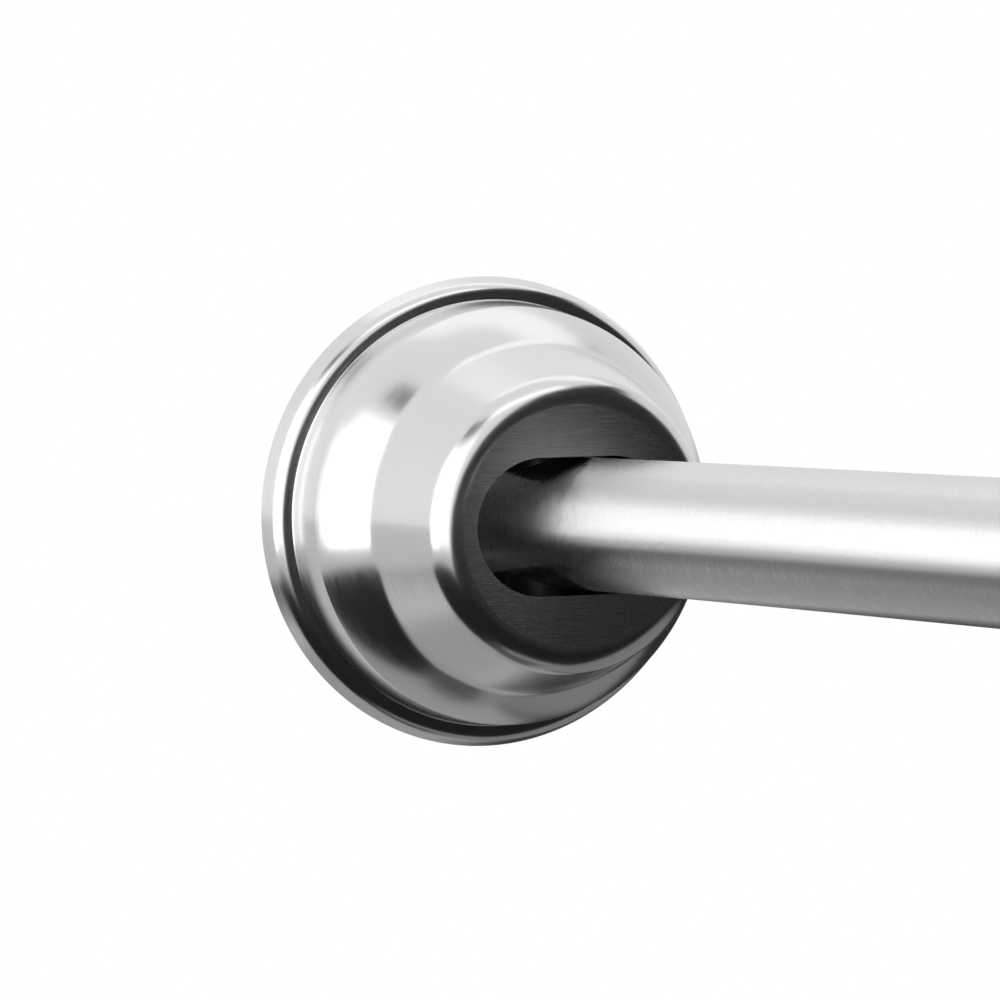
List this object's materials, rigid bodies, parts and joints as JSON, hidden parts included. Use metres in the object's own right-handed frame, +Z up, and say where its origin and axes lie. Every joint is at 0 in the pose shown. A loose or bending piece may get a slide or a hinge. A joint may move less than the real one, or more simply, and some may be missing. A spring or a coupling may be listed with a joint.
{
  "type": "curved curtain rod with brackets",
  "caption": "Curved telescoping shower curtain rod on two swivelling wall brackets with domed, slotted sliding covers in satin nickel.",
  "frame": {"origin": "centre of the left wall pad's back face, on the wall", "axes": "+X from the left wall to the right wall, +Y out into the room where the rod bows, +Z up"},
  "size_m": [1.524, 0.1854, 0.0952],
  "materials": {
    "cover_nickel": "satin nickel plate, spun-brushed dome",
    "tube_nickel": "satin nickel plate, brushed round the tube",
    "collar_nickel": "satin nickel plate",
    "plate_zinc": "bright zinc plate on stamped steel",
    "yoke_zinc": "bright zinc plate on stamped steel",
    "rivet_steel": "plain steel",
    "bolt_zinc": "zinc plate",
    "washer_zinc": "zinc plate",
    "spring_steel": "tempered spring strip",
    "nylon": "moulded black nylon",
    "pad_foam": "closed-cell foam",
    "black_screw": "black oxide"
  },
  "bodies": {
    "wall_bracket_a": {"wall_pad_a": "pad_foam", "wall_plate_a": "plate_zinc", "yoke_a": "yoke_zinc", "rivets_a": "rivet_steel", "pivot_bolt_a": "bolt_zinc", "pivot_nut_a": "bolt_zinc", "pivot_washers_a": "washer_zinc", "cover_clips_a": "spring_steel"},
    "outer_rod": {"outer_tube": "tube_nickel", "end_plug_a": "nylon", "saddle_washers_a": "nylon", "mouth_bush": "nylon", "joint_collar": "collar_nickel", "lock_screw": "black_screw"},
    "inner_rod": {"inner_tube": "tube_nickel", "end_plug_b": "nylon", "saddle_washers_b": "nylon", "glide_bush": "nylon"},
    "wall_bracket_b": {"wall_pad_b": "pad_foam", "wall_plate_b": "plate_zinc", "yoke_b": "yoke_zinc", "rivets_b": "rivet_steel", "pivot_bolt_b": "bolt_zinc", "pivot_nut_b": "bolt_zinc", "pivot_washers_b": "washer_zinc", "cover_clips_b": "spring_steel"},
    "cover_a": {"cover_a": "cover_nickel"},
    "cover_b": {"cover_b": "cover_nickel"}
  },
  "joints": [
    {"name": "pivot_a", "type": "hinge", "parent": "wall_bracket_a", "child": "outer_rod", "pos_m": [0.0303, 0, 0], "axis": [0, 0, 1], "range_deg": [-3.44, 0]},
    {"name": "telescope", "type": "hinge", "parent": "outer_rod", "child": "inner_rod", "pos_m": [0.762, -2.09681, 0], "axis": [0, 0, 1], "range_deg": [0, 6.87]},
    {"name": "pivot_b", "type": "hinge", "parent": "inner_rod", "child": "wall_bracket_b", "pos_m": [1.4937, 0, 0], "axis": [0, 0, 1], "range_deg": [-3.44, 0]},
    {"name": "cover_a_slide", "type": "hinge", "parent": "wall_bracket_a", "child": "cover_a", "pos_m": [0.762, -2.09681, 0], "axis": [0, 0, -1], "range_deg": [0, 2.58]},
    {"name": "cover_b_slide", "type": "hinge", "parent": "wall_bracket_b", "child": "cover_b", "pos_m": [0.762, -2.09681, 0], "axis": [0, 0, 1], "range_deg": [0, 2.58]}
  ],
  "couplings": [
    {"joint": "pivot_a", "follows": "telescope", "ratio": -0.5},
    {"joint": "pivot_b", "follows": "telescope", "ratio": -0.5}
  ]
}
